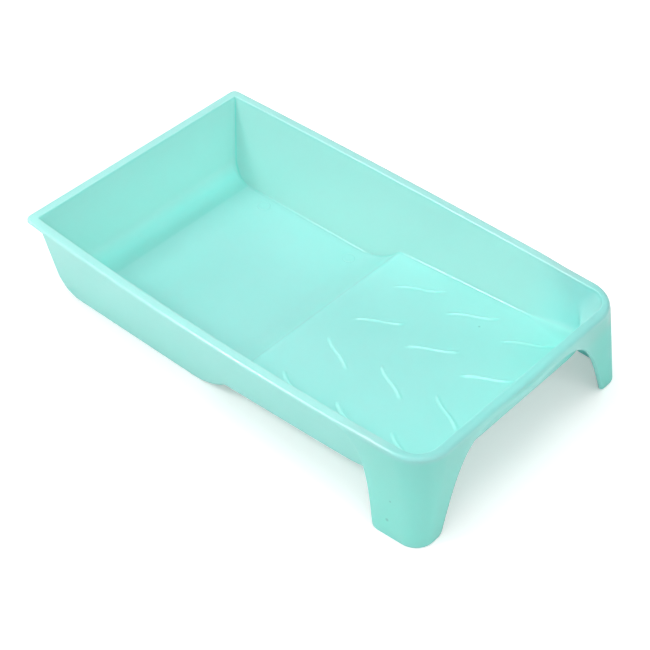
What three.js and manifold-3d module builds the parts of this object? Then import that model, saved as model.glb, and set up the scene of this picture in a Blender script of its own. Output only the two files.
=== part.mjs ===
// Paint roller tray: one thin polypropylene moulding with a deep paint well, a step up to a shallow ribbed
// ramp, a flat rim with a turned-down lip, and two hollow legs at the corners of the shallow end.
// Millimetres. +X runs from the deep end to the shallow end and +Z is up. The origin is on the rest plane, under
// the middle of the tray's overall length. The shapes are built about the rim's middle, which is a little nearer
// the deep end because the legs flare outwards, and the finished moulding is moved there at the end.
import * as THREE from "three";
import { mergeVertices } from "three/addons/utils/BufferGeometryUtils.js";
import Module from "manifold-3d";

const wasm = await Module();
wasm.setup();

// Driving dimensions
const RIM_LENGTH = 322;
const RIM_WIDTH = 188; // at the four corners
const SIDE_BOW = 3.5; // how far each long side swells outwards at mid length
const HEIGHT = 63; // from the rest plane to the top of the rim
const WALL = 1.5;

// Rim
const FLANGE = 6; // width of the flat rim, from the well's edge to its outer edge
const RIM_ROUND = 0.8; // small chamfer along the rim's outer top edge
const LIP = 2.8; // depth of the turned-down lip along the two sides and the deep end
const END_LIP = 6; // depth of the lip between the legs
const END_LIP_FLARE = 1.5; // the middle of that lip stands out by this much at its lower edge
const END_LIP_HALF = 30; // half the length of the flared middle
const RIM_RADIUS_DEEP = 4;
const RIM_RADIUS_SHALLOW = 22; // at the top of the rim
const CHAMFER_FLARE_SHARE = 0.2; // how much of the lip's flare is left at the rim's outer top edge

// Basin: draft is sideways travel for each millimetre of depth
const SIDE_DRAFT = 0.147;
const DEEP_DRAFT = 0.1;
const SHALLOW_DRAFT = 0.22;
const CORNER_DEEP_TOP = 0.8; // the deep end's corners start sharp at the rim and open out downwards
const CORNER_DEEP_FLOOR = 3;
const CORNER_SHALLOW_TOP = 13; // the shallow end's corners are round from the rim down and widest at the ramp
const CORNER_SHALLOW_FLOOR = 45;
const FLOOR_FILLET = 1.2; // along the foot of the side walls
const WELL_FILLET = 15.5;
const RAMP_FILLET = 8; // between the ramp and the shallow end wall

// Step and ramp
const STEP_X = -1; // top edge of the step
const STEP_RISE = 14.2;
const STEP_SLOPE = 48; // degrees, steepest part of the step's face
const STEP_FOOT_RADIUS = 12;
const STEP_TOP_RADIUS = 2;
const RAMP_SLOPE = 0.0637; // rise for each millimetre of length

// Legs
const LEG_FLARE_END = 0.045; // outward travel of the end panel for each millimetre of depth
const LEG_FLARE_SIDE = 0.055; // the same for the side panel
const LEG_RADIUS_FOOT = 12; // upright corner between the two panels, at the foot
const LEG_FOOT_ROUND = 4; // lower corners of the panels
const LEG_SIDE_START = 100; // X where the lip starts to sweep down into the side panel's free edge
const LEG_SIDE_BEND = [124, 46]; // X and Z that pull that edge round
const LEG_SIDE_FOOT = 131; // X of that edge at the foot
const LEG_END_START = 34; // the same three for the end panel, as distances from the centre plane
const LEG_END_BEND = [63, 46];
const LEG_END_FOOT = 78;
const LEG_SWEEP = [0.7, 0.2]; // where the sweep starts to turn down, as shares of the way to the bend point

// Ribs
const RIB_FIRST_X = 19;
const RIB_PITCH_X = 42.5;
const RIB_ROWS = 3;
const RIB_COLUMNS = [10.4, 51]; // distance of each column's near end from the centre plane
const RIB_RUN = 30; // length along X
const RIB_SWING = 18; // sideways travel, away from the centre plane
const RIB_WIDTH = 2.6;
const RIB_HEIGHT = 0.9;
const RIB_BEND = 0.25; // how strongly the two ends turn sideways
const RIB_TIP = 0.25; // size of the section at either end, as a share of the middle's
const RIB_ROOT = 0.5; // how far the section reaches down into the ramp, as a share of its height
const RIB_SHOULDER = 0.1; // height at which the flanks start to lean in
const RIB_CREST = 0.4; // width of the crest, as a share of the rib's width

// Witness marks of the ejector pins, in the well
const PIN_RADIUS = 4.2;
const PIN_HEIGHT = 0.15;
const PIN_SPOTS = [
  [-112, 70],
  [-32.5, 67.5],
];

// Facets
const DEEP_CORNER_STEPS = 4;
const SHALLOW_CORNER_STEPS = 8;
const SIDE_STEPS = 12;
const END_STEPS = 14;
const WELL_FILLET_STEPS = 9;
const FLOOR_BEND_STEPS = 5;
const RAMP_FILLET_STEPS = 6;
const STEP_EDGE_STEPS = 3;
const FLOOR_FILLET_STEPS = 4;
const FLOOR_LONGEST = 22; // longest stretch of the floor line between two sections
const LEG_EDGE_STEPS = 14;
const LEG_FOOT_STEPS = 5;
const RIB_STEPS = 12;
const PIN_SIDES = 28;

const CLEAR = 20; // how far cutting shapes reach past the tray
const BELOW_REST = -2; // height at which they start
const FILLET_NUDGE = 0.05; // fillets start this far outside the walls they blend into, so that the two cross
const RIM_GAP = 0.2; // the basin's outside stops this far under the rim's top, so that they don't share a face
const WELD = 1e-4; // points closer than this are one

const HALF_LENGTH = RIM_LENGTH / 2;
const HALF_WIDTH = RIM_WIDTH / 2;
const TAU = Math.PI * 2;

// Solids

function solidOf(geometry) {
  const bare = geometry.clone();
  bare.deleteAttribute("normal");
  bare.deleteAttribute("uv");
  const merged = mergeVertices(bare, WELD);
  return new wasm.Manifold(
    new wasm.Mesh({
      numProp: 3,
      vertProperties: new Float32Array(merged.attributes.position.array),
      triVerts: new Uint32Array(merged.index.array),
    }),
  );
}

function geometryOf(solid) {
  const mesh = solid.getMesh();
  const points = new Float32Array(mesh.numVert * 3);
  for (let i = 0; i < mesh.numVert; i++)
    for (let k = 0; k < 3; k++) points[i * 3 + k] = mesh.vertProperties[i * mesh.numProp + k];
  const geometry = new THREE.BufferGeometry();
  geometry.setAttribute("position", new THREE.BufferAttribute(points, 3));
  geometry.setIndex(new THREE.BufferAttribute(new Uint32Array(mesh.triVerts), 1));
  return geometry.toNonIndexed();
}

// A closed body through a row of flat loops with the same number of points. Each loop turns anticlockwise when
// seen from the side that the row runs towards.
function loft(loops) {
  const count = loops[0].length;
  const faces = [];
  for (let j = 0; j + 1 < loops.length; j++)
    for (let i = 0; i < count; i++) {
      const a = j * count + i;
      const b = j * count + ((i + 1) % count);
      faces.push(a, b, b + count, a, b + count, a + count);
    }
  for (const [a, b, c] of capTriangles(loops[0])) faces.push(a, c, b);
  const last = (loops.length - 1) * count;
  for (const [a, b, c] of capTriangles(loops[loops.length - 1])) faces.push(last + a, last + b, last + c);
  const geometry = new THREE.BufferGeometry();
  geometry.setAttribute("position", new THREE.Float32BufferAttribute(loops.flat().flat(), 3));
  geometry.setIndex(faces);
  return solidOf(geometry);
}

// Triangles that fill a flat loop, found in the loop's own plane.
function capTriangles(loop) {
  const points = loop.map((p) => new THREE.Vector3(...p));
  const normal = new THREE.Vector3();
  for (let i = 0; i < points.length; i++)
    normal.add(new THREE.Vector3().crossVectors(points[i], points[(i + 1) % points.length]));
  const turn = new THREE.Quaternion().setFromUnitVectors(normal.normalize(), new THREE.Vector3(0, 0, 1));
  const flat = points.map((p) => p.clone().applyQuaternion(turn));
  return THREE.ShapeUtils.triangulateShape(flat.map((p) => new THREE.Vector2(p.x, p.y)), []);
}

// Plan outlines

// Share of the sides' bow that is present at x: all of it at mid length, none at the ends.
const swellAt = (x) => Math.max(0, 1 - (x / HALF_LENGTH) ** 2);

// A rectangle with its own radius at each end and gently bowed long sides, anticlockwise from above.
function planLoop({ z, deep, shallow, half, bow, deepRadius, shallowRadius }) {
  const loop = [];
  const put = (x, y) => loop.push([x, y + Math.sign(y) * bow * swellAt(x), z]);
  const arc = (cx, cy, radius, from, steps) => {
    for (let i = 0; i <= steps; i++) {
      const turn = from + (i / steps) * (Math.PI / 2);
      put(cx + radius * Math.cos(turn), cy + radius * Math.sin(turn));
    }
  };
  const straight = (from, to, steps) => {
    for (let i = 1; i < steps; i++) {
      const t = i / steps;
      put(from[0] + (to[0] - from[0]) * t, from[1] + (to[1] - from[1]) * t);
    }
  };
  arc(deep + deepRadius, -half + deepRadius, deepRadius, Math.PI, DEEP_CORNER_STEPS);
  straight([deep + deepRadius, -half], [shallow - shallowRadius, -half], SIDE_STEPS);
  arc(shallow - shallowRadius, -half + shallowRadius, shallowRadius, -Math.PI / 2, SHALLOW_CORNER_STEPS);
  straight([shallow, -half + shallowRadius], [shallow, half - shallowRadius], END_STEPS);
  arc(shallow - shallowRadius, half - shallowRadius, shallowRadius, 0, SHALLOW_CORNER_STEPS);
  straight([shallow - shallowRadius, half], [deep + deepRadius, half], SIDE_STEPS);
  arc(deep + deepRadius, half - deepRadius, deepRadius, Math.PI / 2, DEEP_CORNER_STEPS);
  return loop;
}

// The basin's outline at height z, grown outwards by the given amount.
function basinLoop(z, grow) {
  const depth = HEIGHT - z;
  const share = depth / (HEIGHT - BELOW_REST);
  return planLoop({
    z,
    deep: -HALF_LENGTH + FLANGE + DEEP_DRAFT * depth - grow,
    shallow: HALF_LENGTH - FLANGE - SHALLOW_DRAFT * depth + grow,
    half: HALF_WIDTH - FLANGE - SIDE_DRAFT * depth + grow,
    bow: SIDE_BOW * (1 - share),
    deepRadius: CORNER_DEEP_TOP + (CORNER_DEEP_FLOOR - CORNER_DEEP_TOP) * share + grow,
    shallowRadius: CORNER_SHALLOW_TOP + (CORNER_SHALLOW_FLOOR - CORNER_SHALLOW_TOP) * share + grow,
  });
}

// Outer outline of the rim and of the legs below it at height z, moved inwards by inset.
function rimLoop(z, inset) {
  const depth = HEIGHT - z;
  const endOut = LEG_FLARE_END * depth - inset;
  const sideOut = LEG_FLARE_SIDE * depth - inset;
  const cornerChange = (LEG_RADIUS_FOOT - RIM_RADIUS_SHALLOW) * (depth / HEIGHT);
  return planLoop({
    z,
    deep: -HALF_LENGTH - endOut,
    shallow: HALF_LENGTH + endOut,
    half: HALF_WIDTH + sideOut,
    bow: SIDE_BOW,
    deepRadius: RIM_RADIUS_DEEP - inset,
    shallowRadius: RIM_RADIUS_SHALLOW + cornerChange - inset,
  });
}

// Lengthwise profile of the basin's floor

// Points of the arc that rounds the corner b of the path a, b, c.
function roundCorner(a, b, c, radius, steps) {
  const before = new THREE.Vector2(a[0] - b[0], a[1] - b[1]).normalize();
  const after = new THREE.Vector2(c[0] - b[0], c[1] - b[1]).normalize();
  const half = Math.acos(before.dot(after)) / 2;
  const reach = radius / Math.tan(half);
  const middle = before.clone().add(after).normalize().multiplyScalar(radius / Math.sin(half));
  const start = before.clone().multiplyScalar(reach).sub(middle).angle();
  const end = after.clone().multiplyScalar(reach).sub(middle).angle();
  const turn = ((end - start + Math.PI * 3) % TAU) - Math.PI;
  const points = [];
  for (let i = 0; i <= steps; i++) {
    const angle = start + (turn * i) / steps;
    points.push([b[0] + middle.x + radius * Math.cos(angle), b[1] + middle.y + radius * Math.sin(angle)]);
  }
  return points;
}

const rampHeight = (x) => WALL + STEP_RISE + RAMP_SLOPE * (x - STEP_X);

// Floor line in the XZ plane, moved down and outwards by grow, as [x, z] from the deep end to the shallow end.
// Both of its ends are carried up past the rim and out past the end walls.
function floorLine(grow) {
  const out = grow + FILLET_NUDGE;
  const deepWall = (z) => -HALF_LENGTH + FLANGE + DEEP_DRAFT * (HEIGHT - z) - out;
  const shallowWall = (z) => HALF_LENGTH - FLANGE - SHALLOW_DRAFT * (HEIGHT - z) + out;
  const slope = THREE.MathUtils.degToRad(STEP_SLOPE);
  const faceAt = (z) => STEP_X + grow / Math.sin(slope) - (WALL + STEP_RISE - z) / Math.tan(slope);
  const ramp = (x) => rampHeight(x) - grow;
  const floor = WALL - grow;
  const top = faceAt(ramp(STEP_X));
  const end = shallowWall(ramp(HALF_LENGTH - FLANGE));
  const high = HEIGHT * 2;
  const corners = [
    [deepWall(high), high],
    [deepWall(floor), floor],
    [faceAt(floor), floor],
    [top, ramp(top)],
    [end, ramp(end)],
    [shallowWall(high), high],
  ];
  const line = [
    ...roundCorner(corners[0], corners[1], corners[2], WELL_FILLET + grow, WELL_FILLET_STEPS),
    ...roundCorner(corners[1], corners[2], corners[3], STEP_FOOT_RADIUS + grow, FLOOR_BEND_STEPS),
    ...roundCorner(corners[2], corners[3], corners[4], STEP_TOP_RADIUS, STEP_EDGE_STEPS),
    ...roundCorner(corners[3], corners[4], corners[5], RAMP_FILLET + grow, RAMP_FILLET_STEPS),
  ];
  const first = line[0];
  const last = line[line.length - 1];
  return [[first[0] - CLEAR, first[1]], ...line, [last[0] + CLEAR, last[1]]];
}

// A line with points added so that none of its stretches is longer than the given length.
function fillIn(line, longest) {
  const filled = [line[0]];
  for (let i = 1; i < line.length; i++) {
    const from = new THREE.Vector2(...line[i - 1]);
    const to = new THREE.Vector2(...line[i]);
    const parts = Math.ceil(from.distanceTo(to) / longest);
    for (let k = 1; k <= parts; k++) filled.push(from.clone().lerp(to, k / parts).toArray());
  }
  return filled;
}

// Everything above the floor line, with a fillet along the foot of each side wall.
function aboveFloor(grow) {
  const radius = FLOOR_FILLET + grow;
  const steps = FLOOR_FILLET_STEPS;
  const wide = HALF_WIDTH + CLEAR;
  const high = HEIGHT * 2;
  const loops = fillIn(floorLine(grow), FLOOR_LONGEST).map(([x, z]) => {
    const swell = SIDE_BOW * swellAt(x);
    const draft = SIDE_DRAFT + swell / (HEIGHT - BELOW_REST);
    const lean = Math.atan(draft);
    const half = HALF_WIDTH - FLANGE + swell - draft * (HEIGHT - z) + grow + FILLET_NUDGE;
    const centre = half + draft * radius - radius / Math.cos(lean);
    const side = [];
    for (let i = 0; i <= steps; i++) {
      const turn = -Math.PI / 2 + (i / steps) * (Math.PI / 2 - lean);
      side.push([centre + radius * Math.cos(turn), z + radius + radius * Math.sin(turn)]);
    }
    side.push([wide, side[steps][1]], [wide, high]);
    const mirrored = side.map(([y, height]) => [-y, height]).reverse();
    return [...side, ...mirrored].map(([y, height]) => [x, y, height]);
  });
  return loft(loops);
}

const basinWalls = (grow, bottom, top) => loft([basinLoop(bottom, grow), basinLoop(top, grow)]);

const basinOutside = () => basinWalls(WALL, BELOW_REST, HEIGHT - RIM_GAP).intersect(aboveFloor(WALL));

// The hollow, with its opening carried straight up past the rim.
function cavity() {
  const top = basinLoop(HEIGHT, 0);
  const opening = loft([top, top.map(([x, y]) => [x, y, HEIGHT + CLEAR])]);
  return basinWalls(0, BELOW_REST, HEIGHT).add(opening).intersect(aboveFloor(0));
}

// Rim, lip and legs

// Upright slab: a closed outline in XZ run across the whole tray, or in YZ run between two places along X.
function slab(outline, along, from, to) {
  const shape = new THREE.Shape(outline.map(([u, v]) => new THREE.Vector2(u, v)));
  const geometry = new THREE.ExtrudeGeometry(shape, { depth: to - from, bevelEnabled: false });
  geometry.rotateX(Math.PI / 2);
  if (along === "y") geometry.translate(0, to, 0);
  if (along === "x") geometry.rotateZ(Math.PI / 2).translate(from, 0, 0);
  return solidOf(geometry);
}

// Free edge of a leg panel, from the lip's lower edge down to the rest plane: a rounded bend, a nearly straight
// taper, and a rounded lower corner. The first number of each point runs towards the leg.
function legEdge(start, lipEdge, bend, foot) {
  const steps = LEG_EDGE_STEPS;
  const [across, down] = LEG_SWEEP;
  const sweepX = THREE.MathUtils.lerp(start, bend[0], across);
  const sweepZ = THREE.MathUtils.lerp(lipEdge, bend[1], down);
  const taper = new THREE.CubicBezierCurve(
    new THREE.Vector2(start, lipEdge),
    new THREE.Vector2(sweepX, sweepZ),
    new THREE.Vector2(...bend),
    new THREE.Vector2(foot, 0),
  );
  const points = taper.getPoints(steps).map((p) => [p.x, p.y]);
  const corner = roundCorner(points[steps - 2], [foot, 0], [foot + CLEAR, 0], LEG_FOOT_ROUND, LEG_FOOT_STEPS);
  return [...points.filter(([, z]) => z > corner[0][1]), ...corner];
}

// What is cut away on the long sides, from the deep end to the legs.
function sideCut() {
  const lipEdge = HEIGHT - LIP;
  const far = HALF_LENGTH + CLEAR;
  const edge = legEdge(LEG_SIDE_START, lipEdge, LEG_SIDE_BEND, LEG_SIDE_FOOT);
  const outline = [[-far, BELOW_REST], [-far, lipEdge], ...edge, [edge.at(-1)[0], BELOW_REST]];
  return slab(outline, "y", -HALF_WIDTH - CLEAR, HALF_WIDTH + CLEAR);
}

// What is cut away at the shallow end, between the legs.
function endCut() {
  const edge = legEdge(LEG_END_START, HEIGHT - END_LIP, LEG_END_BEND, LEG_END_FOOT);
  const half = [...edge, [edge.at(-1)[0], BELOW_REST]];
  const mirrored = half.map(([y, z]) => [-y, z]).reverse();
  return slab([...mirrored, ...half], "x", HALF_LENGTH - CLEAR, HALF_LENGTH + CLEAR);
}

// A rim loop with the middle of its shallow end standing out by the given amount.
function flared(loop, amount) {
  return loop.map(([x, y, z]) => {
    const away = Math.min(1, Math.abs(y) / END_LIP_HALF);
    const swell = x > HALF_LENGTH - CLEAR ? amount * (0.5 + 0.5 * Math.cos(Math.PI * away)) : 0;
    return [x + swell, y, z];
  });
}

// The rim with its lip and legs, open underneath: a shell less the arches between the legs.
function skirt() {
  const lipEdge = HEIGHT - END_LIP;
  const outside = loft([
    rimLoop(0, 0),
    flared(rimLoop(lipEdge, 0), END_LIP_FLARE),
    flared(rimLoop(HEIGHT - RIM_ROUND, 0), END_LIP_FLARE * CHAMFER_FLARE_SHARE),
    rimLoop(HEIGHT, RIM_ROUND),
  ]);
  const inside = loft([
    rimLoop(BELOW_REST, WALL),
    flared(rimLoop(lipEdge, WALL), END_LIP_FLARE),
    flared(rimLoop(HEIGHT - WALL, WALL), END_LIP_FLARE * CHAMFER_FLARE_SHARE),
  ]);
  return outside.subtract(sideCut()).subtract(endCut()).subtract(inside);
}

// Ribs

// One S-shaped rib on the ramp, with its near end at (x, y), swinging to the given side.
function rib(x, y, side) {
  const nudge = 0.01;
  const at = (t) => {
    const wave = RIB_BEND * (Math.sin(TAU * t) / TAU);
    return new THREE.Vector2(x + RIB_RUN * (t - wave / 2), y + side * RIB_SWING * (t + wave));
  };
  const section = [
    [-0.5, -RIB_ROOT],
    [0.5, -RIB_ROOT],
    [0.5, RIB_SHOULDER],
    [RIB_CREST / 2, 1],
    [-RIB_CREST / 2, 1],
    [-0.5, RIB_SHOULDER],
  ];
  const loops = [];
  for (let i = 0; i <= RIB_STEPS; i++) {
    const t = i / RIB_STEPS;
    const centre = at(t);
    const along = at(t + nudge).sub(at(t - nudge)).normalize();
    const size = RIB_TIP + (1 - RIB_TIP) * Math.sqrt(Math.max(0, Math.sin(Math.PI * t)));
    const loop = section.map(([across, up]) => {
      const px = centre.x - along.y * across * RIB_WIDTH * size;
      const py = centre.y + along.x * across * RIB_WIDTH * size;
      return [px, py, rampHeight(px) + up * RIB_HEIGHT * size];
    });
    loops.push(loop);
  }
  return loft(loops);
}

function ribs() {
  const all = [];
  for (let row = 0; row < RIB_ROWS; row++)
    for (const start of RIB_COLUMNS)
      for (const side of [-1, 1]) all.push(rib(RIB_FIRST_X + row * RIB_PITCH_X, side * start, side));
  return all;
}

// Pin marks

// A low disc on the well's floor.
function pinMark(x, y) {
  const disc = new THREE.CylinderGeometry(PIN_RADIUS, PIN_RADIUS, WALL, PIN_SIDES);
  disc.rotateX(Math.PI / 2);
  disc.translate(x, y, WALL / 2 + PIN_HEIGHT);
  return solidOf(disc);
}

function trayMoulding() {
  let tray = skirt().add(basinOutside()).subtract(cavity());
  for (const piece of ribs()) tray = tray.add(piece);
  for (const [x, y] of PIN_SPOTS) tray = tray.add(pinMark(x, y)).add(pinMark(x, -y));
  return geometryOf(tray);
}

const plastic = new THREE.MeshStandardMaterial({ color: 0x9be6da, roughness: 0.38, metalness: 0 });

const part = new THREE.Group();
const moulding = new THREE.Mesh(trayMoulding(), plastic);
moulding.name = "tray_moulding";
moulding.position.x = (LEG_FLARE_END * (LIP - HEIGHT)) / 2;
part.add(moulding);

export default part;
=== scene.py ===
"""Paint roller tray: the finished surface of the one moulding, its material, the light and the camera.

Shapes are in millimetres about the middle of the rim until mesh_object() moves them into the frame,
which is in metres. +X runs from the deep end to the shallow end, and Z starts at the rest plane.
"""

import math

import bpy
import numpy as np
from mathutils import Matrix, Vector


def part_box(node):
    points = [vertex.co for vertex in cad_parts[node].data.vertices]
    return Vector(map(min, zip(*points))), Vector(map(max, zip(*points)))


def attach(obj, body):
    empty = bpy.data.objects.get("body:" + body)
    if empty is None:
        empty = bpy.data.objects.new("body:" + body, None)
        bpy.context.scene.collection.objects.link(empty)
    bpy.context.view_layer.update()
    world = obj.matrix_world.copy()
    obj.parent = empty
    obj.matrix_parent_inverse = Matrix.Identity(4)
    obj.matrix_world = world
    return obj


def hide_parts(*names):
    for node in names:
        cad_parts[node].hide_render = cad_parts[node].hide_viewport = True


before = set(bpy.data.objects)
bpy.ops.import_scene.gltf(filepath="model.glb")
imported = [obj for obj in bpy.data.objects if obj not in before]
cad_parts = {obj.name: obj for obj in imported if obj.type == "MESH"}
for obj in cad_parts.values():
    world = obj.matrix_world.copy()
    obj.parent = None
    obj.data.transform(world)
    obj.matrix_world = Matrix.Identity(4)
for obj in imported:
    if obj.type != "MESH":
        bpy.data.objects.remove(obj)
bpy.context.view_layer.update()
low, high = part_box("tray_moulding")
MM = 0.001

# Sizes taken from the frame
HEIGHT = (high.z - low.z) / MM
LEG_FLARE_END = 0.045  # outward travel of the leg's end panel for each millimetre of depth
LEG_FLARE_SIDE = 0.055
LIP = 2.8  # depth of the turned-down lip along the sides and the deep end
HALF_LENGTH = ((high.x - low.x) / MM - LEG_FLARE_END * (HEIGHT + LIP)) / 2
RIM_MIDDLE = low.x / MM + LEG_FLARE_END * LIP + HALF_LENGTH
RIM_PROPORTION = 0.584  # the rim's width at its corners as a share of its length
HALF_WIDTH = HALF_LENGTH * RIM_PROPORTION

# Rim
WALL = 1.5
FLANGE = 6.0
BOW_NEAR = 5.2  # the near side of this moulding swells more at mid length than the far one
BOW_FAR = 2.0
END_LIP = 6.0  # depth of the lip between the legs
END_LIP_FLARE = 1.5  # the middle of that lip stands out by this much at its lower edge
END_LIP_HALF = 30.0
END_LIP_TOP_SHARE = 0.2  # how much of that flare is left at the rim's top
RIM_RADIUS_DEEP = 4.0
RIM_RADIUS_SHALLOW = 22.0
RIM_EDGE_INNER = 0.6
RIM_EDGE_OUTER = 1.0  # along the sides and the deep end
RIM_EDGE_SOFT = 2.6  # round the shallow end
RIM_EDGE_CHANGE = (96.0, 122.0)  # stretch of the sides over which one becomes the other
UNDER_FILLET = 0.5

# Basin
SIDE_DRAFT = 0.147
DEEP_DRAFT = 0.1
SHALLOW_DRAFT = 0.22
CORNER_DEEP_TOP = 1.0
CORNER_DEEP_FLOOR = 3.0
CORNER_SHALLOW_TOP = 13.0
CORNER_SHALLOW_FLOOR = 45.0
FLOOR_FILLET = 1.2
END_FILLET = 8.0  # what that fillet grows to at the shallow corners
END_FILLET_CHANGE = (98.0, 134.0)
FLOOR_EDGE = (-9.0, 3.0)  # depth below the floor line over which corners turn into that fillet
WELL_FILLET = 15.5
RAMP_FILLET = 8.0

# Step and ramp
STEP_X = -1.0
STEP_RISE = 14.2
STEP_SLOPE = math.radians(48)
STEP_FOOT_RADIUS = 12.0
STEP_TOP_RADIUS = 2.0
RAMP_SLOPE = 0.0637

# Legs
LEG_RADIUS_FOOT = 12.0
LEG_FOOT_ROUND = 4.0
LEG_SIDE_EDGE = ((100.0, HEIGHT - LIP), (124.0, 46.0), (131.0, 0.0))
LEG_END_EDGE = ((34.0, HEIGHT - END_LIP), (63.0, 46.0), (78.0, 0.0))
LEG_SWEEP = (0.7, 0.2)  # where the sweep starts to turn down, as shares of the way to the bend point
LEG_EDGE_POINTS = 200
LEG_LEAN_POINTS = 20  # how many of them, back from the foot, give the edge's lean there
LEG_FOOT_POINTS = 12

# Ribs and pin marks
RIB_FIRST_X = 19.0
RIB_PITCH_X = 42.5
RIB_ROWS = 3
RIB_COLUMNS = (10.4, 51.0)
RIB_RUN = 30.0
RIB_SWING = 18.0
RIB_HALF_WIDTH = 1.55
RIB_HEIGHT = 0.85
RIB_FADE = 0.14  # share of the length over which each end rises
RIB_BEND = 0.9  # sideways swing of the S either way
RIB_GRID = 0.7
PIN_RADIUS = 4.2
PIN_LINE = 0.6
PIN_SPOTS = ((-112.0, 70.0), (-32.5, 67.5))
SPECKS = ((85.5, 54.5, 21.2, 1.0), (141.5, -97.2, 27.5, 0.9), (140.5, -98.0, 12.5, 1.5))  # place and radius
SPECK_CORE = 0.3  # share of a speck's radius that is fully dark

# Stretches of the frame, in millimetres, over which a painted tint of light and shade, or the dullness,
# fades in: the second number is where it is full
RIM_FADE_Z = (60.5, 62.5)
LEG_FADE_Z = (62.5, 58.0)
HOLLOW_FADE_Z = (55.0, 45.0)
SHALLOW_END_FADE_X = (120.0, 150.0)
FAR_WALL_FADE_X = (90.0, 140.0)
FAR_RAMP_FADE_X = (0.0, 50.0)
FAR_END_FADE_X = (100.0, 140.0)
FAR_FLOOR_FADE_Y = (20.0, 80.0)
DULL_FADE_X = (80.0, 120.0)
DULL_FADE_Y = (50.0, 75.0)
LEG_FADE_X = (95.0, 140.0)
LEG_FADE_Y = (40.0, 75.0)

# The same for how the surface faces: outwards from the middle (below 0 is inwards), or its normal's X or Z
WALL_INWARDS = (-0.01, -0.05)
FILLET_INWARDS = (-0.002, -0.02)
OUTSIDE_OUTWARDS = (0.02, 0.07)
FILLET_NORMAL_X = (0.04, 0.22)
FILLET_END_NORMAL_X = (0.8, 0.3)
WALL_NORMAL_Z = (0.75, 0.2)
LEVEL_NORMAL_Z = (0.6, 0.9)

# How finely the skin is divided
SETTLE_ROUNDS = 12
LIP_ROUNDS = 8
CORNER_STRIP = 3.0  # along the foot of the deep end's wall
CORNER_GRID = 0.5
FILLET_MARGIN = 2.0  # floor beyond the well's fillet that is divided like it
FILLET_GRID = 1.2
WELL_GRID = 3.8
STEP_MARGIN = 4.0
STEP_GRID = 0.6
END_GRID = 0.8
SIDE_STRIPS = ((3.0, 1.2), (1.5, 0.4), (0.0, 0.2))  # distance from the side wall, and spacing up to it
SKIRT_PITCH = 0.05  # share of the lip's or leg's height between two rows outside it
INNER_SKIRT_PITCH = 0.07  # the same inside it
RIM_TOP_SHARES = (0.25, 0.5, 0.75, 1)  # rows across the rim's flat top
UNDER_RIM_SHARES = (0.33, 0.67)  # and across the flat underneath it
INNER_EDGE_ROWS = 5
OUTER_EDGE_ROWS = 7
LIP_EDGE_ROWS = 9
UNDER_FILLET_ROWS = 4
WALL_SPAN = 47.0  # the tallest wall, for the spacing of the rows up it
WALL_STOPS = ((0, 0), (1.6, 0.2), (5, 0.7), (24, 1.6), (WALL_SPAN, 2.8))
LOOSE_HEIGHT = 22.0  # rows up to this far above the floor may move upwards as they settle
LOOSE_FADE = 8.0
RIB_MARGIN = 1.0  # extra fine grid beyond either end of a rib
RIB_MARGIN_SIDE = 1.5
COARSE_GRID = 3.2

# Studio, in metres
WORLD_LIGHT = 0.31
PAPER = 0.92
FLOOR_LIFT = 0.3  # white added to the floor as the camera sees it
FLOOR_HALF = 4.0
FLOOR_GAP = 0.0003
# Name, place, size, watts, whether it lights matt surfaces, and whether it shows in glossy ones
LIGHTS = (
    ("key", (-0.65, -0.92, 1.2), 0.5, 10.2, True, True),
    ("end", (1.5, 0, 0.9), 1.1, 5.0, True, True),
    ("front", (0.95, -1.05, 1.2), 1.1, 3.8, True, True),
    ("left", (-1.3, 0.1, 1.0), 0.5, 2.4, True, True),
    ("top", (0, 0, 1.6), 1.1, 12.0, True, False),
    ("edge", (-0.7, -1.03, 0.85), 0.25, 13, False, True),
    ("crest", (-0.15, -0.15, 1.5), 0.4, 3.5, False, True),
)
CAMERA_AZIMUTH = math.radians(41.571)
CAMERA_ELEVATION = math.radians(42.402)
CAMERA_ROLL = math.radians(0.336)
CAMERA_DISTANCE = 1.0247
CAMERA_AIM = (44.19, -42.49)  # millimetres from the rim's middle, at the rim's height
CAMERA_LENS = 97.41
SENSOR_WIDTH = 36


# ---- The moulding as rounded distance functions ----


def round_and(a, b, radius):
    """Inside both a and b, where each is negative inside, with the corner between them rounded."""
    corner = np.hypot(np.maximum(a + radius, 0), np.maximum(b + radius, 0))
    return np.minimum(np.maximum(a, b), -radius) + corner


def smooth_step(low_end, high_end, value):
    t = np.clip((value - low_end) / (high_end - low_end), 0, 1)
    return t * t * (3 - 2 * t)


def side_bow(x, y):
    swell = np.maximum(0, 1 - (x / HALF_LENGTH) ** 2)
    return swell * np.where(y < 0, BOW_NEAR, BOW_FAR)


def half_width(x, y, z):
    """Half the width of the hollow at a height, on the side that y is on."""
    depth = HEIGHT - z
    return HALF_WIDTH - FLANGE - SIDE_DRAFT * depth + side_bow(x, y) * (1 - depth / HEIGHT)


def deep_wall(z):
    return -HALF_LENGTH + FLANGE + DEEP_DRAFT * (HEIGHT - z)


def shallow_wall(z):
    return HALF_LENGTH - FLANGE - SHALLOW_DRAFT * (HEIGHT - z)


def ramp_height(x):
    return WALL + STEP_RISE + RAMP_SLOPE * (x - STEP_X)


def step_face(z):
    """X of the step's sloping face at a height."""
    return STEP_X - (WALL + STEP_RISE - z) / math.tan(STEP_SLOPE)


def floor_distance(x, z):
    """Depth below the floor line, which runs along the well, up the step and along the ramp."""
    below_ramp = (ramp_height(x) - z) / math.hypot(1, RAMP_SLOPE)
    behind_face = (x - step_face(z)) * math.sin(STEP_SLOPE)
    block = -round_and(-below_ramp, -behind_face, STEP_TOP_RADIUS)
    return round_and(WALL - z, block, STEP_FOOT_RADIUS)


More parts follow.
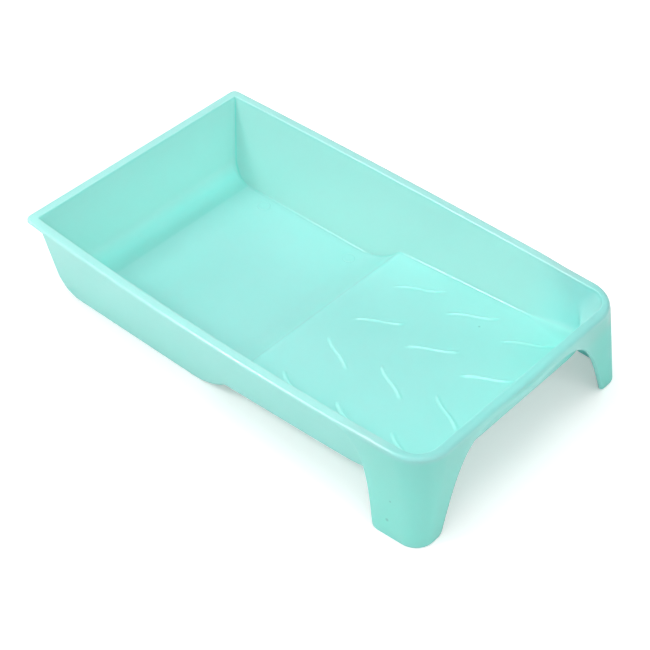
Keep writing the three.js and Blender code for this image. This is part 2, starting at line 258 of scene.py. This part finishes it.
def basin(p):
    """Distance outside the hollow: 0 on the inner surface and WALL on the outer one."""
    x, y, z = p[:, 0], p[:, 1], p[:, 2]
    deep = (deep_wall(z) - x) / math.hypot(1, DEEP_DRAFT)
    shallow = (x - shallow_wall(z)) / math.hypot(1, SHALLOW_DRAFT)
    side = (np.abs(y) - half_width(x, y, z)) / math.hypot(1, SIDE_DRAFT)
    floor = floor_distance(x, z)
    lengthwise = round_and(round_and(deep, floor, WELL_FILLET), shallow, RAMP_FILLET)
    share = np.clip((HEIGHT - z) / HEIGHT, 0, 1)
    deep_corner = CORNER_DEEP_TOP + (CORNER_DEEP_FLOOR - CORNER_DEEP_TOP) * share
    shallow_corner = CORNER_SHALLOW_TOP + (CORNER_SHALLOW_FLOOR - CORNER_SHALLOW_TOP) * share
    corner = np.where(x < 0, deep_corner, shallow_corner)
    fillet = FLOOR_FILLET + (END_FILLET - FLOOR_FILLET) * smooth_step(*END_FILLET_CHANGE, x)
    on_floor = smooth_step(*FLOOR_EDGE, floor - np.maximum(deep, shallow))
    return round_and(lengthwise, side, corner + (fillet - corner) * on_floor)


def rim_outline(p, inset):
    """Distance outside the rim and leg panels at each point's own height, in plan."""
    x, y, z = p[:, 0], p[:, 1], p[:, 2]
    depth = HEIGHT - z
    deep = -HALF_LENGTH - LEG_FLARE_END * depth + inset - x
    middle = 0.5 + 0.5 * np.cos(math.pi * np.minimum(1, np.abs(y) / END_LIP_HALF))
    share = END_LIP_TOP_SHARE + (1 - END_LIP_TOP_SHARE) * depth / END_LIP
    stand_out = END_LIP_FLARE * middle * np.clip(share, 0, 1)
    shallow = x - (HALF_LENGTH + LEG_FLARE_END * depth + stand_out - inset)
    side = np.abs(y) - (HALF_WIDTH + side_bow(x, y) + LEG_FLARE_SIDE * depth - inset)
    change = (LEG_RADIUS_FOOT - RIM_RADIUS_SHALLOW) * depth / HEIGHT
    radius = np.where(x < 0, RIM_RADIUS_DEEP, RIM_RADIUS_SHALLOW + change) - inset
    return round_and(np.maximum(deep, shallow), side, radius)


def settle(p, distance, target, upright):
    """Moves points along the slope of a distance function until it equals target.

    upright scales the vertical part of the move: 0 keeps a point at its height.
    """
    p = p.copy()
    nudge = 1e-3
    scale = np.stack([np.ones(len(p)), np.ones(len(p)), np.broadcast_to(upright, len(p))], axis=1)
    for _ in range(SETTLE_ROUNDS):
        value = distance(p) - target
        slope = np.zeros_like(p)
        for axis in range(3):
            step = np.zeros(3)
            step[axis] = nudge
            slope[:, axis] = (distance(p + step) - distance(p - step)) / (2 * nudge)
        move = slope * scale
        size = np.maximum((slope * move).sum(axis=1), 1e-6)
        p -= move * (value / size)[:, None]
    return p


# ---- Grid lines and stations around the tray ----


def spaced(stops):
    """Places along a line: stops are (place, spacing up to it), the first one only a start."""
    places = [stops[0][0]]
    for (start, _), (end, pitch) in zip(stops, stops[1:]):
        count = max(1, round((end - start) / pitch))
        places += [start + (end - start) * (i + 1) / count for i in range(count)]
    return np.array(places)


def grid_lines():
    """X places along the floor, and shares of the half width across it, finest where the ribs are."""
    deep = deep_wall(WALL)
    end = shallow_wall(ramp_height(HALF_LENGTH - 2 * FLANGE))
    along_stops = [
        (deep, 0),
        (deep + CORNER_STRIP, CORNER_GRID),
        (deep + WELL_FILLET + FILLET_MARGIN, FILLET_GRID),
        (step_face(WALL) - STEP_FOOT_RADIUS, WELL_GRID),
        (STEP_X + STEP_MARGIN, STEP_GRID),
    ]
    for row in range(RIB_ROWS):
        start = RIB_FIRST_X + row * RIB_PITCH_X
        along_stops += [(start - RIB_MARGIN, COARSE_GRID), (start + RIB_RUN + RIB_MARGIN, RIB_GRID)]
    along_stops.append((end, END_GRID))
    half = HALF_WIDTH - FLANGE
    side_stops = [(0, 0)]
    for start in RIB_COLUMNS:
        side_stops.append((start - RIB_MARGIN_SIDE, COARSE_GRID))
        side_stops.append((start + RIB_SWING + RIB_MARGIN_SIDE, RIB_GRID))
    side_stops += [(half - gap, pitch) for gap, pitch in SIDE_STRIPS]
    side = spaced(side_stops) / half
    return spaced(along_stops), np.concatenate([-side[:0:-1], side])


ALONG, ACROSS = grid_lines()


def sharp_floor():
    """The floor grid before its edges are rounded, as an (along, across, 3) array."""
    x = np.repeat(ALONG[:, None], len(ACROSS), axis=1)
    share = np.repeat(ACROSS[None, :], len(ALONG), axis=0)
    on_step = np.clip((x - step_face(WALL)) / (STEP_X - step_face(WALL)), 0, 1)
    z = np.where(x > STEP_X, ramp_height(x), WALL + STEP_RISE * on_step)
    y = share * half_width(x, share, z)
    return np.stack([x, y, z], axis=2)


def perimeter_index():
    """Grid places of the stations round the floor's edge, anticlockwise from the near deep corner."""
    rows, columns = len(ALONG), len(ACROSS)
    near = [(i, 0) for i in range(rows - 1)]
    shallow = [(rows - 1, j) for j in range(columns - 1)]
    far = [(i, columns - 1) for i in range(rows - 1, 0, -1)]
    deep = [(0, j) for j in range(columns - 1, 0, -1)]
    return np.array(near + shallow + far + deep)


EDGE = perimeter_index()
STATIONS = len(EDGE)


def station_shares():
    """Each station's share of the way along (0 deep, 1 shallow) and across (-1 near, 1 far)."""
    along = (ALONG - ALONG[0]) / (ALONG[-1] - ALONG[0])
    return along[EDGE[:, 0]], ACROSS[EDGE[:, 1]]


SHARE_ALONG, SHARE_ACROSS = station_shares()


def sharp_wall(height):
    """Points on the basin's sharp-cornered walls, one for each station, at the given heights."""
    x = deep_wall(height) + (shallow_wall(height) - deep_wall(height)) * SHARE_ALONG
    y = SHARE_ACROSS * half_width(x, SHARE_ACROSS, height)
    return np.stack([x, y, height], axis=1)


def skirt(height, inset):
    """Points on the rim's and legs' outside at the given heights, moved inwards by inset."""
    depth = HEIGHT - height
    reach = HALF_LENGTH + LEG_FLARE_END * depth - inset
    x = reach * (2 * SHARE_ALONG - 1)
    y = SHARE_ACROSS * (HALF_WIDTH + side_bow(x, SHARE_ACROSS) + LEG_FLARE_SIDE * depth - inset)
    sharp = np.stack([x, y, height], axis=1)
    return settle(sharp, lambda p: rim_outline(p, inset), 0, 0)


# ---- The lower edge of the lip and legs ----


def bezier(points, t):
    a, b, c, d = (np.array(p)[None, :] for p in points)
    s, t = (1 - t)[:, None], t[:, None]
    return a * s**3 + 3 * b * s * s * t + 3 * c * s * t * t + d * t**3


def leg_edge(stops):
    """Height of a leg panel's free edge against distance, as two arrays for interpolation."""
    start, bend, foot = stops
    pull = tuple(a + (b - a) * share for a, b, share in zip(start, bend, LEG_SWEEP))
    taper = bezier((start, pull, bend, foot), np.linspace(0, 1, LEG_EDGE_POINTS))
    end, before = taper[-1], taper[-LEG_LEAN_POINTS]
    lean = math.atan2(end[0] - before[0], before[1] - end[1])
    reach = LEG_FOOT_ROUND * math.tan((math.pi / 2 - lean) / 2)
    keep = taper[:, 1] > reach * math.cos(lean)
    turn = np.linspace(math.pi + lean, 1.5 * math.pi, LEG_FOOT_POINTS)
    centre = foot[0] + reach
    corner = np.stack([centre + LEG_FOOT_ROUND * np.cos(turn), LEG_FOOT_ROUND * (1 + np.sin(turn))], axis=1)
    line = np.concatenate([taper[keep], corner])
    return line[:, 0], np.maximum(line[:, 1], 0)


def lip_heights():
    """Height of the lip's or leg's lower edge at each station."""
    side_x, side_z = leg_edge(LEG_SIDE_EDGE)
    end_y, end_z = leg_edge(LEG_END_EDGE)
    height = np.full(STATIONS, HEIGHT - LIP)
    for _ in range(LIP_ROUNDS):
        p = skirt(height, 0)
        on_side = np.interp(p[:, 0], side_x, side_z, left=HEIGHT - LIP)
        on_end = np.interp(np.abs(p[:, 1]), end_y, end_z, left=HEIGHT - END_LIP)
        at_end = (SHARE_ALONG == 1) | (p[:, 0] > HALF_LENGTH - RIM_RADIUS_SHALLOW)
        wanted = np.where(at_end, on_end, on_side)
        height = np.clip(wanted, 0, HEIGHT - LIP)
    return height


# ---- Rows of points from the floor, over the rim and back underneath ----


def wall_rows(top, target):
    """Rows up the basin's wall to the given height, not counting the floor's own edge."""
    foot = sharp_floor()[EDGE[:, 0], EDGE[:, 1], 2]
    rise = spaced(WALL_STOPS)[1:] / WALL_SPAN
    rows = []
    for share in rise:
        height = foot + (top - foot) * share
        loose = np.clip(1 - (height - foot - LOOSE_HEIGHT) / LOOSE_FADE, 0, 1)
        rows.append(settle(sharp_wall(height), basin, target, loose))
    return rows


def rim_rows(inner, outer, lower):
    """Rows over the flange and down the outside of the lip and legs."""
    across = outer - inner
    width = np.linalg.norm(across, axis=1)[:, None]
    out = across / width
    soft = smooth_step(*RIM_EDGE_CHANGE, outer[:, 0])
    edge = RIM_EDGE_OUTER + (RIM_EDGE_SOFT - RIM_EDGE_OUTER) * soft
    rows = []
    for turn in np.linspace(0, math.pi / 2, INNER_EDGE_ROWS)[1:]:
        row = inner + out * RIM_EDGE_INNER * (1 - math.cos(turn))
        row[:, 2] = HEIGHT - RIM_EDGE_INNER * (1 - math.sin(turn))
        rows.append(row)
    for share in RIM_TOP_SHARES:
        flat = RIM_EDGE_INNER + (width - RIM_EDGE_INNER - edge[:, None]) * share
        row = inner + out * flat
        row[:, 2] = HEIGHT
        rows.append(row)
    for turn in np.linspace(0, math.pi / 2, OUTER_EDGE_ROWS)[1:]:
        row = inner + out * (width - edge[:, None] * (1 - math.sin(turn)))
        row[:, 2] = HEIGHT - edge * (1 - math.cos(turn))
        rows.append(row)
    top = HEIGHT - edge
    for share in spaced([(0, 0), (1, SKIRT_PITCH)])[1:]:
        rows.append(skirt(top + (lower + WALL / 2 - top) * share, 0))
    return rows


def edge_rows(lower):
    """Half-round rows along the lower edge, from the outer face to the inner one."""
    middle = skirt(lower, WALL / 2)
    along = np.roll(middle, -1, axis=0) - np.roll(middle, 1, axis=0)
    along /= np.linalg.norm(along, axis=1)[:, None]
    out = skirt(lower, 0) - skirt(lower, WALL)
    out -= along * (out * along).sum(axis=1)[:, None]
    out /= np.linalg.norm(out, axis=1)[:, None]
    down = np.cross(out, along)
    down *= np.where(down[:, 2] > 0, -1, 1)[:, None]
    radius = WALL / 2
    rows = []
    for turn in np.linspace(0, math.pi, LIP_EDGE_ROWS)[1:-1]:
        rows.append(middle + radius * (out * math.cos(turn) + down * (math.sin(turn) - 1)))
    return rows


def under_rows(lower, wall_top):
    """Rows up the inside of the lip and along the flange's underside to the basin's outside."""
    roof = HEIGHT - WALL
    top = roof - UNDER_FILLET
    rows = []
    for share in spaced([(0, 0), (1, INNER_SKIRT_PITCH)])[:-1]:
        rows.append(skirt(lower + WALL / 2 + (top - lower - WALL / 2) * share, WALL))
    outer = skirt(np.full(STATIONS, top), WALL)
    inward = wall_top - outer
    width = np.linalg.norm(inward[:, :2], axis=1)[:, None]
    inward[:, 2] = 0
    inward /= width
    for turn in np.linspace(0, math.pi / 2, UNDER_FILLET_ROWS):
        row = outer + inward * UNDER_FILLET * (1 - math.cos(turn))
        row[:, 2] = top + UNDER_FILLET * math.sin(turn)
        rows.append(row)
    for share in UNDER_RIM_SHARES:
        row = outer + inward * (UNDER_FILLET + (width - 2 * UNDER_FILLET) * share)
        row[:, 2] = roof
        rows.append(row)
    for turn in np.linspace(0, math.pi / 2, UNDER_FILLET_ROWS)[:-1]:
        row = outer + inward * (width - UNDER_FILLET * (1 - math.sin(turn)))
        row[:, 2] = roof - UNDER_FILLET * (1 - math.cos(turn))
        rows.append(row)
    return rows


# ---- Ribs ----


def rib_rise(x, y, start_x, start_y, side):
    """Height of one S-shaped rib above the ramp, fading out at its ends."""
    length = math.hypot(RIB_RUN, RIB_SWING)
    run, swing = RIB_RUN / length, side * RIB_SWING / length
    share = ((x - start_x) * run + (y - start_y) * swing) / length
    across = (y - start_y) * run - (x - start_x) * swing
    bend = side * RIB_BEND * np.sin(2 * math.pi * np.clip(share, 0, 1))
    crest = np.cos(math.pi / 2 * np.clip((across - bend) / RIB_HALF_WIDTH, -1, 1)) ** 2
    return RIB_HEIGHT * crest * smooth_step(0, RIB_FADE, share) * smooth_step(0, RIB_FADE, 1 - share)


def ribs_rise(x, y):
    rise = np.zeros(len(x))
    for row in range(RIB_ROWS):
        for start in RIB_COLUMNS:
            for side in (-1, 1):
                rise += rib_rise(x, y, RIB_FIRST_X + row * RIB_PITCH_X, side * start, side)
    return rise


def tray_mesh():
    """Points and faces of the whole moulding as one closed skin."""
    sharp = sharp_floor().reshape(-1, 3)
    columns = len(ACROSS)
    inner_floor = settle(sharp, basin, 0, 1)
    inner_floor[:, 2] += ribs_rise(inner_floor[:, 0], inner_floor[:, 1])
    outer_floor = settle(sharp, basin, WALL, 1)
    lower = lip_heights()
    inner_wall = wall_rows(HEIGHT - RIM_EDGE_INNER, 0)
    outer_wall = wall_rows(HEIGHT - WALL - UNDER_FILLET, WALL)
    rim_inner = inner_wall[-1].copy()
    rim_outer = skirt(np.full(STATIONS, HEIGHT), 0)
    rim_inner[:, 2] = HEIGHT
    rows = inner_wall + rim_rows(rim_inner, rim_outer, lower) + edge_rows(lower)
    rows += under_rows(lower, outer_wall[-1]) + outer_wall[::-1]
    points = np.concatenate([inner_floor] + rows + [outer_floor])
    floor_count = len(inner_floor)
    ring = EDGE[:, 0] * columns + EDGE[:, 1]
    loops = [ring]
    loops += [floor_count + k * STATIONS + np.arange(STATIONS) for k in range(len(rows))]
    last = floor_count + len(rows) * STATIONS
    loops.append(last + ring)
    faces = []
    for i in range(len(ALONG) - 1):
        for j in range(columns - 1):
            a = i * columns + j
            quad = (a, a + columns, a + columns + 1, a + 1)
            faces.append(quad)
            faces.append(tuple(last + k for k in reversed(quad)))
    for lower_ring, upper_ring in zip(loops, loops[1:]):
        lower_next, upper_next = np.roll(lower_ring, -1), np.roll(upper_ring, -1)
        quads = np.stack([upper_ring, upper_next, lower_next, lower_ring], axis=1)
        faces += [tuple(quad) for quad in quads.tolist()]
    return points, faces


def mesh_object(name, mesh, material):
    points, faces = mesh
    data = bpy.data.meshes.new(name)
    placed = (points + np.array([RIM_MIDDLE, 0, 0])) * MM
    data.from_pydata([tuple(p) for p in placed.tolist()], [], faces)
    data.validate()
    for polygon in data.polygons:
        polygon.use_smooth = True
    data.materials.append(material)
    obj = bpy.data.objects.new(name, data)
    bpy.context.scene.collection.objects.link(obj)
    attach(obj, "root")
    return obj


# ---- Materials ----


def srgb(red, green, blue):
    """Scene colour from the 0-255 values that a screen would show."""

    def channel(value):
        value /= 255
        return value / 12.92 if value <= 0.04045 else ((value + 0.055) / 1.055) ** 2.4

    return (channel(red), channel(green), channel(blue), 1)


def node(tree, kind, **values):
    made = tree.nodes.new(kind)
    for key, value in values.items():
        if key in made.inputs:
            made.inputs[key].default_value = value
        else:
            setattr(made, key, value)
    return made


def maths(tree, operation, a, b):
    """A maths node on two sockets or numbers; returns its output."""
    made = node(tree, "ShaderNodeMath", operation=operation)
    for place, value in enumerate((a, b)):
        if isinstance(value, (int, float)):
            made.inputs[place].default_value = value
        else:
            tree.links.new(value, made.inputs[place])
    return made.outputs[0]


def smooth_range(tree, value, start, end):
    """0 below start and 1 above end, or the other way round when start is the larger."""
    made = node(tree, "ShaderNodeMapRange", interpolation_type="SMOOTHSTEP")
    made.inputs["From Min"].default_value = start
    made.inputs["From Max"].default_value = end
    tree.links.new(value, made.inputs["Value"])
    return made.outputs["Result"]


def tinted(tree, base, colour, amount):
    """The base colour drawn towards another one where amount is 1."""
    mixed = node(tree, "ShaderNodeMix", data_type="RGBA")
    tree.links.new(amount, mixed.inputs[0])
    tree.links.new(base, mixed.inputs[6])
    mixed.inputs[7].default_value = colour
    return mixed.outputs[2]


def fade(tree, value, stretch):
    """Rises from 0 to 1 along a stretch given in millimetres."""
    return smooth_range(tree, value, stretch[0] * MM, stretch[1] * MM)


def product(tree, first, *others):
    """All the given masks multiplied together."""
    result = first
    for mask in others:
        result = maths(tree, "MULTIPLY", result, mask)
    return result


def outward_facing(tree, place):
    """How far the surface faces away from the tray's middle: above 0 outwards, below 0 inwards."""
    middle = node(tree, "ShaderNodeCombineXYZ", X=RIM_MIDDLE * MM)
    outward = node(tree, "ShaderNodeVectorMath", operation="SUBTRACT")
    tree.links.new(place.outputs["Position"], outward.inputs[0])
    tree.links.new(middle.outputs[0], outward.inputs[1])
    level = node(tree, "ShaderNodeVectorMath", operation="MULTIPLY")
    level.inputs[1].default_value = (1, 1, 0)
    tree.links.new(outward.outputs["Vector"], level.inputs[0])
    along = node(tree, "ShaderNodeVectorMath", operation="DOT_PRODUCT")
    tree.links.new(place.outputs["Normal"], along.inputs[0])
    tree.links.new(level.outputs["Vector"], along.inputs[1])
    return along.outputs["Value"]


def split(tree, vector):
    """The X, Y and Z of a vector socket."""
    parts = node(tree, "ShaderNodeSeparateXYZ")
    tree.links.new(vector, parts.inputs[0])
    return parts.outputs["X"], parts.outputs["Y"], parts.outputs["Z"]


def facing_masks(tree):
    """Masks of 0 to 1 for the stretches of the moulding that get painted light or shade, or a dullness of
    their own.
    """
    place = node(tree, "ShaderNodeNewGeometry")
    facing = outward_facing(tree, place)
    x, y, z = split(tree, place.outputs["Position"])
    normal_x, _, normal_z = split(tree, place.outputs["Normal"])
    steep = smooth_range(tree, normal_z, *WALL_NORMAL_Z)
    wall = product(tree, smooth_range(tree, facing, *WALL_INWARDS), steep)
    turned_up = smooth_range(tree, normal_x, *FILLET_NORMAL_X)
    not_wall = smooth_range(tree, normal_x, *FILLET_END_NORMAL_X)
    outside = smooth_range(tree, facing, *OUTSIDE_OUTWARDS)
    at_end = fade(tree, x, SHALLOW_END_FADE_X)
    rim_top = fade(tree, z, RIM_FADE_Z)
    end_rim = product(tree, rim_top, at_end)
    hollow = fade(tree, z, HOLLOW_FADE_Z)
    level = product(tree, smooth_range(tree, normal_z, *LEVEL_NORMAL_Z), hollow)
    far_floor = product(tree, level, fade(tree, y, FAR_FLOOR_FADE_Y))
    dull_side = product(tree, hollow, fade(tree, y, DULL_FADE_Y))
    near_corner = fade(tree, maths(tree, "ABSOLUTE", y, 0), LEG_FADE_Y)
    leg_side = product(tree, fade(tree, x, LEG_FADE_X), near_corner, fade(tree, z, LEG_FADE_Z))
    return {
        "wall": wall,
        "far wall": product(tree, wall, fade(tree, x, FAR_WALL_FADE_X)),
        "far ramp": product(tree, far_floor, fade(tree, x, FAR_RAMP_FADE_X)),
        "far end": product(tree, far_floor, fade(tree, x, FAR_END_FADE_X)),
        "fillet": product(tree, smooth_range(tree, facing, *FILLET_INWARDS), turned_up, not_wall),
        "rim": maths(tree, "SUBTRACT", rim_top, end_rim),
        "end rim": end_rim,
        "outside": outside,
        "end lip": product(tree, outside, at_end),
        "leg": product(tree, outside, leg_side),
        "dull": product(tree, dull_side, fade(tree, x, DULL_FADE_X)),
    }


def level_distance(tree, position, centre, flatten):
    """Distance from a centre after each axis of the offset is scaled by flatten."""
    offset = node(tree, "ShaderNodeVectorMath", operation="SUBTRACT")
    offset.inputs[1].default_value = centre
    tree.links.new(position, offset.inputs[0])
    scaled = node(tree, "ShaderNodeVectorMath", operation="MULTIPLY")
    scaled.inputs[1].default_value = flatten
    tree.links.new(offset.outputs["Vector"], scaled.inputs[0])
    length = node(tree, "ShaderNodeVectorMath", operation="LENGTH")
    tree.links.new(scaled.outputs["Vector"], length.inputs[0])
    return length.outputs["Value"]


def pin_rings(tree, position):
    """Faint raised rings left by the ejector pins, as a height from 0 to 1."""
    total = 0.0
    for x, y in PIN_SPOTS:
        for side in (-1, 1):
            centre = ((x + RIM_MIDDLE) * MM, side * y * MM, 0)
            length = level_distance(tree, position, centre, (1, 1, 0))
            away = maths(tree, "ABSOLUTE", maths(tree, "SUBTRACT", length, PIN_RADIUS * MM), 0)
            ring = fade(tree, away, (PIN_LINE, 0))
            total = maths(tree, "ADD", total, ring)
    return total


def specks(tree, position):
    """Mask of the few small dark specks moulded into the plastic."""
    total = 0.0
    for x, y, z, radius in SPECKS:
        length = level_distance(tree, position, ((x + RIM_MIDDLE) * MM, y * MM, z * MM), (1, 1, 1))
        spot = fade(tree, length, (radius, SPECK_CORE * radius))
        total = maths(tree, "ADD", total, spot)
    return total


# Painted light and shade: each tint's mask and colour, in the order that they are laid on
PAINTED_LIGHT_AND_SHADE = (
    # painted light: inner walls paler
    ("wall", (176, 229, 221)),
    # painted light: inner walls towards the shallow end brighter
    ("far wall", (162, 243, 235)),
    # painted shade: far side of the ramp darker
    ("far ramp", (151, 224, 215)),
    # painted shade: far shallow corner of the floor darker
    ("far end", (140, 221, 211)),
    # painted shade: fillets between floor and walls darker
    ("fillet", (143, 230, 217)),
    # painted shade: outward faces darker
    ("outside", (150, 218, 210)),
    # painted light: the shallow end's lip lighter than the other outward faces
    ("end lip", (155, 229, 219)),
    # painted sheen: the rim's top greyer
    ("rim", (165, 221, 215)),
    # painted shade: the rim's top at the shallow end darker
    ("end rim", (145, 218, 211)),
    # painted shade: legs darker and deeper green
    ("leg", (135, 227, 211)),
)


def noise(tree, place, scale, detail, roughness):
    """Cloudy values from 0 to 1 through the plastic."""
    made = node(tree, "ShaderNodeTexNoise", Scale=scale, Detail=detail, Roughness=roughness)
    tree.links.new(place.outputs["Object"], made.inputs["Vector"])
    return made.outputs["Fac"]


def plastic_colour(tree, place, position, masks):
    """Mint pigment, a little cloudy, with the painted light and shade and the specks laid over it."""
    tint = node(tree, "ShaderNodeValToRGB")
    tint.color_ramp.elements[0].position = 0.3
    tint.color_ramp.elements[0].color = srgb(152, 233, 221)
    tint.color_ramp.elements[1].position = 0.72
    tint.color_ramp.elements[1].color = srgb(158, 237, 226)
    tree.links.new(noise(tree, place, 9.0, 3.0, 0.5), tint.inputs["Fac"])
    colour = tint.outputs["Color"]
    for name, shade in PAINTED_LIGHT_AND_SHADE:
        colour = tinted(tree, colour, srgb(*shade), masks[name])
    dark = maths(tree, "MULTIPLY", specks(tree, position), 0.4)
    return tinted(tree, colour, srgb(84, 150, 138), dark)


def plastic_gloss(tree, place, shader, masks):
    """Satin with faint smears; the far shallow corner is duller and has no clear coat."""
    gloss = node(tree, "ShaderNodeMapRange")
    gloss.inputs["To Min"].default_value = 0.3
    gloss.inputs["To Max"].default_value = 0.42
    tree.links.new(noise(tree, place, 60.0, 4.0, 0.6), gloss.inputs["Value"])
    dulled = maths(tree, "MULTIPLY", masks["dull"], 0.35)
    tree.links.new(maths(tree, "ADD", gloss.outputs["Result"], dulled), shader.inputs["Roughness"])
    coat = maths(tree, "MULTIPLY", maths(tree, "SUBTRACT", 1.0, masks["dull"]), 0.4)
    tree.links.new(coat, shader.inputs["Coat Weight"])
    shader.inputs["Coat Roughness"].default_value = 0.15


def plastic_relief(tree, place, position, shader):
    """Fine orange peel and the ejector pins' rings."""
    peel = node(tree, "ShaderNodeBump", Strength=0.12, Distance=0.0002)
    tree.links.new(noise(tree, place, 900.0, 2.0, 0.5), peel.inputs["Height"])
    rings = node(tree, "ShaderNodeBump", Strength=0.8, Distance=0.0003)
    tree.links.new(pin_rings(tree, position), rings.inputs["Height"])
    tree.links.new(peel.outputs["Normal"], rings.inputs["Normal"])
    tree.links.new(rings.outputs["Normal"], shader.inputs["Normal"])


def plastic():
    """Satin mint polypropylene with soft light inside the wall.

    The broad tints are painted light and shade, standing for how far light reaches through it and how it
    falls on each face, and were matched.
    """
    material = bpy.data.materials.new("tray_plastic")
    material.use_nodes = True
    tree = material.node_tree
    shader = tree.nodes["Principled BSDF"]
    place = node(tree, "ShaderNodeTexCoord")
    position = node(tree, "ShaderNodeNewGeometry").outputs["Position"]
    masks = facing_masks(tree)
    tree.links.new(plastic_colour(tree, place, position, masks), shader.inputs["Base Color"])
    plastic_gloss(tree, place, shader, masks)
    plastic_relief(tree, place, position, shader)
    shader.inputs["IOR"].default_value = 1.49
    shader.inputs["Subsurface Weight"].default_value = 1.0
    shader.inputs["Subsurface Radius"].default_value = (0.8, 1.0, 0.97)
    shader.inputs["Subsurface Scale"].default_value = 0.005
    return material


def floor_material():
    """Near-white paper; the lift towards white is only in what the camera sees and lights nothing."""
    material = bpy.data.materials.new("studio_floor")
    material.use_nodes = True
    tree = material.node_tree
    shader = tree.nodes["Principled BSDF"]
    shader.inputs["Base Color"].default_value = (PAPER, PAPER, PAPER, 1)
    shader.inputs["Roughness"].default_value = 0.7
    shader.inputs["Specular IOR Level"].default_value = 0.2
    shader.inputs["Emission Color"].default_value = (1, 1, 1, 1)
    seen = node(tree, "ShaderNodeLightPath")
    lift = maths(tree, "MULTIPLY", seen.outputs["Is Camera Ray"], FLOOR_LIFT)
    tree.links.new(lift, shader.inputs["Emission Strength"])
    return material


# ---- Studio ----


def studio_floor():
    half = FLOOR_HALF
    data = bpy.data.meshes.new("studio_floor")
    corners = [(-half, -half, 0), (half, -half, 0), (half, half, 0), (-half, half, 0)]
    data.from_pydata(corners, [], [(0, 1, 2, 3)])
    data.materials.append(floor_material())
    obj = bpy.data.objects.new("studio_floor", data)
    obj.location.z = low.z - FLOOR_GAP
    bpy.context.scene.collection.objects.link(obj)


def area_light(name, position, target, size, power):
    data = bpy.data.lights.new(name, "AREA")
    data.shape = "DISK"
    data.size = size
    data.energy = power
    obj = bpy.data.objects.new(name, data)
    obj.location = position
    obj.rotation_euler = (Vector(target) - Vector(position)).to_track_quat("-Z", "Y").to_euler()
    bpy.context.scene.collection.objects.link(obj)
    return obj


def lights():
    middle = (0, 0, high.z / 2)
    for name, position, size, power, diffuse, glossy in LIGHTS:
        lamp = area_light(name, position, middle, size, power)
        lamp.visible_diffuse = diffuse
        lamp.visible_glossy = glossy
    world = bpy.data.worlds.new("studio")
    bpy.context.scene.world = world
    world.use_nodes = True
    tree = world.node_tree
    background = tree.nodes["Background"]
    background.inputs["Color"].default_value = (1, 1, 1, 1)
    seen = node(tree, "ShaderNodeLightPath")
    lift = maths(tree, "MULTIPLY", seen.outputs["Is Camera Ray"], 1 - WORLD_LIGHT)
    tree.links.new(maths(tree, "ADD", lift, WORLD_LIGHT), background.inputs["Strength"])


def camera():
    """A long lens looking down over the near shallow corner."""
    target = Vector(((RIM_MIDDLE + CAMERA_AIM[0]) * MM, CAMERA_AIM[1] * MM, high.z))
    flat = math.cos(CAMERA_ELEVATION)
    back_x = math.sin(CAMERA_AZIMUTH) * flat
    back_y = -math.cos(CAMERA_AZIMUTH) * flat
    back = Vector((back_x, back_y, math.sin(CAMERA_ELEVATION)))
    level = Vector((0, 0, 1)).cross(back).normalized()
    rise = back.cross(level)
    right = math.cos(CAMERA_ROLL) * level + math.sin(CAMERA_ROLL) * rise
    up = -math.sin(CAMERA_ROLL) * level + math.cos(CAMERA_ROLL) * rise
    data = bpy.data.cameras.new("camera")
    data.sensor_width = SENSOR_WIDTH
    data.lens = CAMERA_LENS
    obj = bpy.data.objects.new("camera", data)
    turn = Matrix((right, up, back)).transposed().to_4x4()
    obj.matrix_world = Matrix.Translation(target + back * CAMERA_DISTANCE) @ turn
    bpy.context.scene.collection.objects.link(obj)
    bpy.context.scene.camera = obj


tray_plastic = plastic()
tray = mesh_object("tray_moulding_skin", tray_mesh(), tray_plastic)
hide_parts("tray_moulding")
studio_floor()
lights()
camera()
bpy.context.scene.view_settings.view_transform = "Standard"
